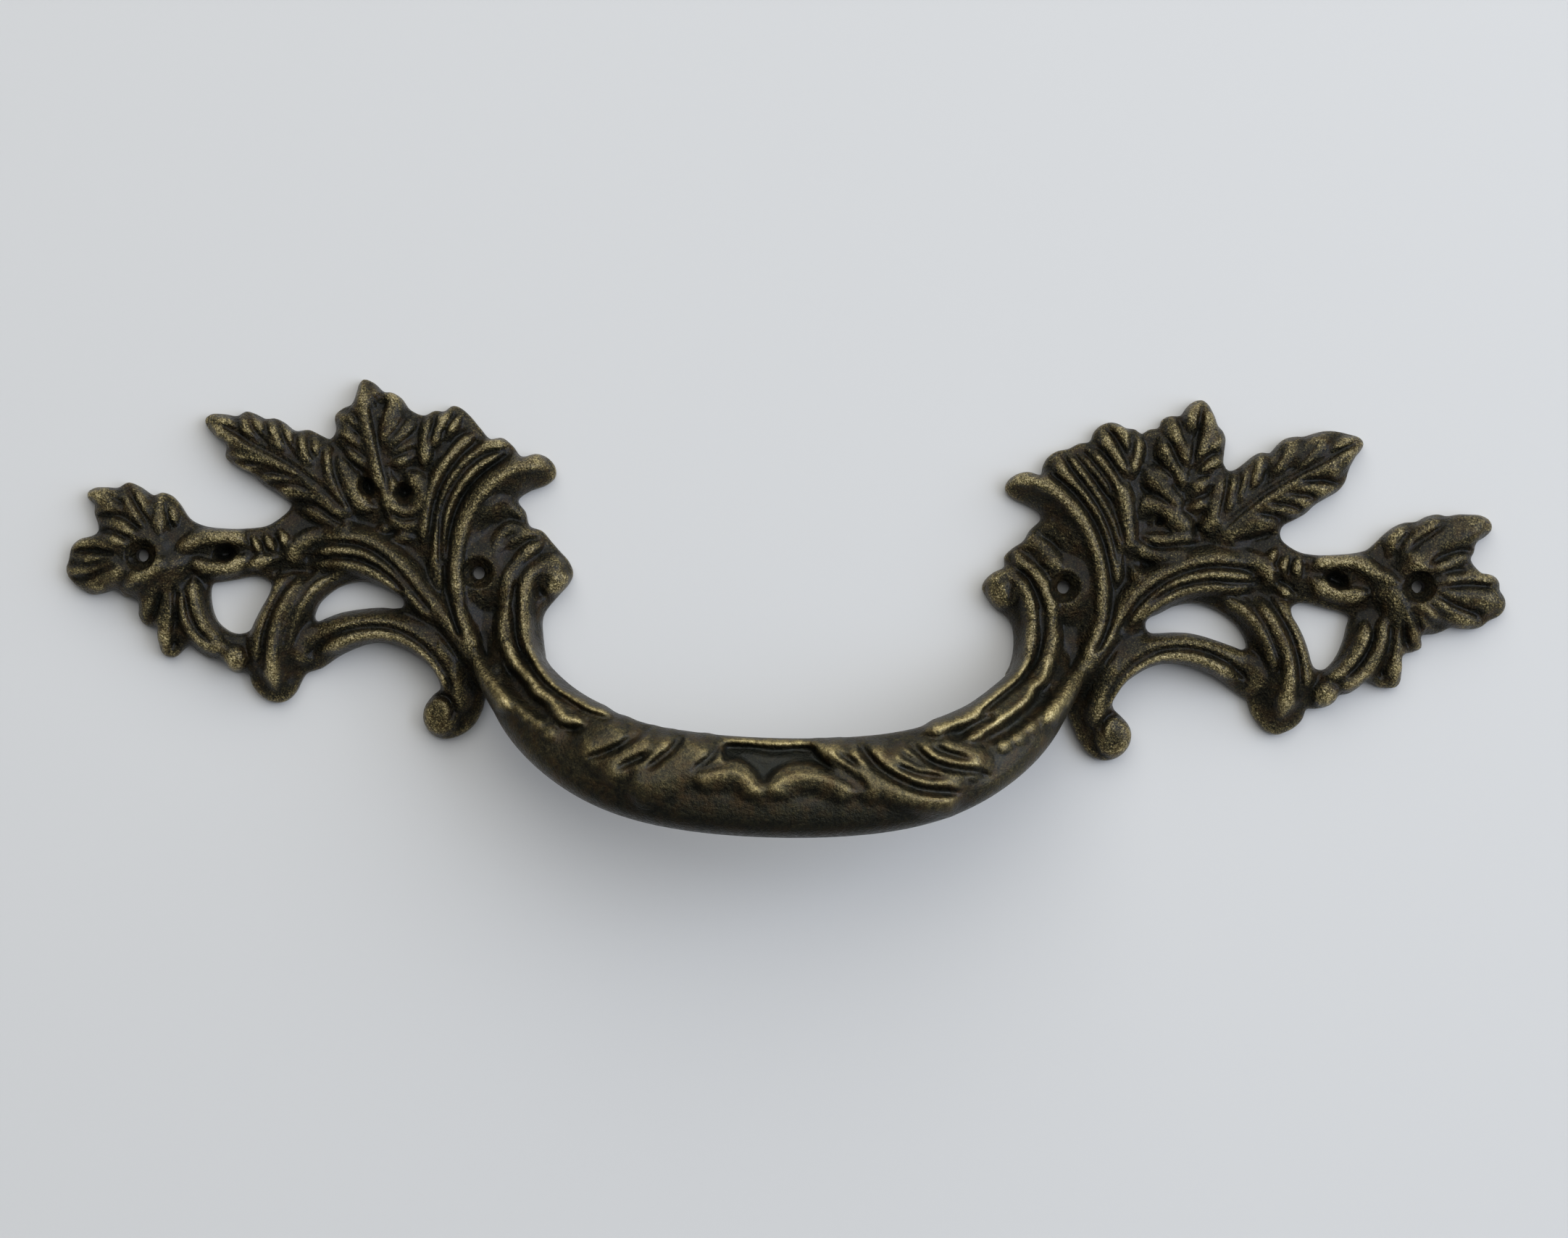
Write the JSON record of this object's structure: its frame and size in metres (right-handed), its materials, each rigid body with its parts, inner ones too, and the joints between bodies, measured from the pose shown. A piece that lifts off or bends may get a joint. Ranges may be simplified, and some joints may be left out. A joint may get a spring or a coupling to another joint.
{
  "type": "drawer pull",
  "caption": "One-piece cast drawer pull with carved leaf and scroll wings joined by a bowed, carved grip.",
  "frame": {"origin": "on the plane of the flat back, under the middle of the pull's own box in X and Y", "axes": "+X to the right along the pull, +Y up the drawer front, away from the grip, +Z out of the drawer front"},
  "size_m": [0.1876, 0.0572, 0.0239],
  "materials": {
    "antique_bronze": "dark antique bronze, rubbed to brass on the ridges, satin"
  },
  "bodies": {
    "root": {"drawer_pull": "antique_bronze"}
  },
  "joints": []
}
